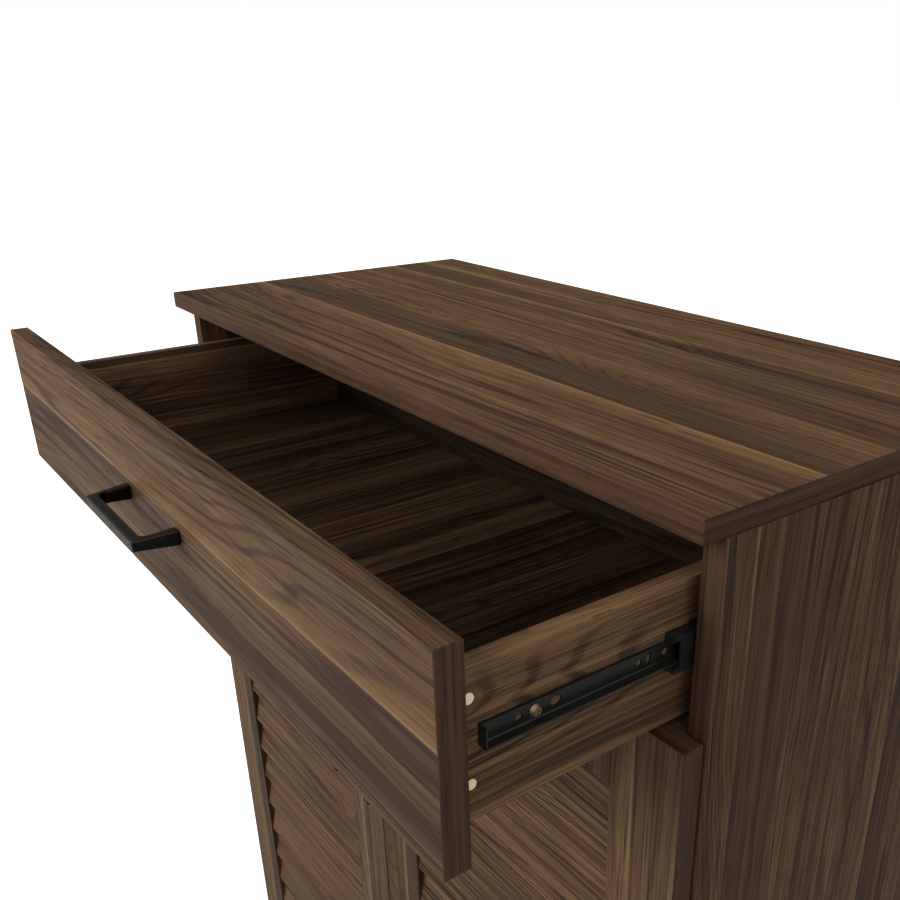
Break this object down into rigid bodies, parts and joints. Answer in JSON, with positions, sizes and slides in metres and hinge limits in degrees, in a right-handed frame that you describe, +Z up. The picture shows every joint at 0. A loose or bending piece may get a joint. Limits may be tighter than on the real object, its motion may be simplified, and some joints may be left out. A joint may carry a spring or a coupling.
{
  "type": "shoe cabinet",
  "caption": "Tall walnut-look shoe cabinet: one full-width drawer on ball slides, partly open, over two framed louvre doors with black pull handles, and shelves inside.",
  "frame": {"origin": "on the floor, under the middle of the bounding box with the drawer open as in the picture", "axes": "+Z up, the fronts face -Y, +X to the right of someone facing the fronts"},
  "size_m": [0.75, 0.5423, 1],
  "materials": {
    "walnut_board": "walnut-look laminate, satin",
    "walnut_front": "lighter walnut-look laminate, satin",
    "drawer_board": "walnut-look laminate, satin",
    "backboard": "thin printed fibreboard, matt",
    "black_handle": "gloss black",
    "black_slide": "satin black",
    "black_plastic": "matt black",
    "zinc_screw": "yellow zinc plated",
    "cream_cam": "cream",
    "nickel_hinge": "nickel plated"
  },
  "bodies": {
    "carcass": {"top_panel": "walnut_board", "side_panel_left": "walnut_board", "side_panel_right": "walnut_board", "bottom_panel": "walnut_board", "drawer_divider": "walnut_board", "plinth_board": "walnut_board", "shelf_1": "walnut_board", "shelf_2": "walnut_board", "shelf_3": "walnut_board", "shelf_4": "walnut_board", "back_panel": "backboard", "cabinet_rail_left": "black_slide", "hinge_arm_upper_left": "nickel_hinge", "hinge_arm_lower_left": "nickel_hinge", "cabinet_rail_right": "black_slide", "hinge_arm_upper_right": "nickel_hinge", "hinge_arm_lower_right": "nickel_hinge"},
    "drawer": {"drawer_front": "walnut_front", "drawer_side_left": "drawer_board", "drawer_side_right": "drawer_board", "drawer_back": "drawer_board", "drawer_bottom": "drawer_board", "drawer_handle": "black_handle", "drawer_handle_screw_left": "zinc_screw", "drawer_handle_screw_right": "zinc_screw", "cam_left_upper": "cream_cam", "cam_left_lower": "cream_cam", "drawer_rail_left": "black_slide", "rail_screw_left": "zinc_screw", "cam_right_upper": "cream_cam", "cam_right_lower": "cream_cam", "drawer_rail_right": "black_slide", "rail_screw_right": "zinc_screw"},
    "ball_cages": {"ball_cage_left": "black_plastic", "ball_cage_right": "black_plastic"},
    "door_left_links": {"hinge_link_upper_left": "nickel_hinge", "hinge_link_lower_left": "nickel_hinge"},
    "door_left": {"hinge_stile_left": "walnut_front", "meeting_stile_left": "walnut_front", "top_rail_left": "walnut_front", "bottom_rail_left": "walnut_front", "louvre_panel_left": "walnut_front", "door_handle_left": "black_handle", "door_left_handle_screw_lower": "zinc_screw", "door_left_handle_screw_upper": "zinc_screw", "hinge_cup_upper_left": "nickel_hinge", "hinge_cup_lower_left": "nickel_hinge"},
    "door_right_links": {"hinge_link_upper_right": "nickel_hinge", "hinge_link_lower_right": "nickel_hinge"},
    "door_right": {"hinge_stile_right": "walnut_front", "meeting_stile_right": "walnut_front", "top_rail_right": "walnut_front", "bottom_rail_right": "walnut_front", "louvre_panel_right": "walnut_front", "door_handle_right": "black_handle", "door_right_handle_screw_lower": "zinc_screw", "door_right_handle_screw_upper": "zinc_screw", "hinge_cup_upper_right": "nickel_hinge", "hinge_cup_lower_right": "nickel_hinge"}
  },
  "joints": [
    {"name": "drawer_slide", "type": "slide", "parent": "carcass", "child": "drawer", "axis": [0, -1, 0], "range_m": [-0.161, 0.06]},
    {"name": "ball_cage_slide", "type": "slide", "parent": "carcass", "child": "ball_cages", "axis": [0, -1, 0], "range_m": [-0.0805, 0.03]},
    {"name": "door_left_link_turn", "type": "hinge", "parent": "carcass", "child": "door_left_links", "pos_m": [-0.3485, -0.0585, 0.4528], "axis": [0, 0, -1], "range_deg": [-33, 0]},
    {"name": "door_left_swing", "type": "hinge", "parent": "door_left_links", "child": "door_left", "pos_m": [-0.367, -0.0645, 0.4528], "axis": [0, 0, -1], "range_deg": [0, 138]},
    {"name": "door_right_link_turn", "type": "hinge", "parent": "carcass", "child": "door_right_links", "pos_m": [0.3485, -0.0585, 0.4528], "axis": [0, 0, 1], "range_deg": [-33, 0]},
    {"name": "door_right_swing", "type": "hinge", "parent": "door_right_links", "child": "door_right", "pos_m": [0.367, -0.0645, 0.4528], "axis": [0, 0, 1], "range_deg": [0, 138]}
  ],
  "couplings": [
    {"joint": "ball_cage_slide", "follows": "drawer_slide", "ratio": 0.5},
    {"joint": "door_left_link_turn", "follows": "door_left_swing", "ratio": -0.237},
    {"joint": "door_right_link_turn", "follows": "door_right_swing", "ratio": -0.237}
  ]
}
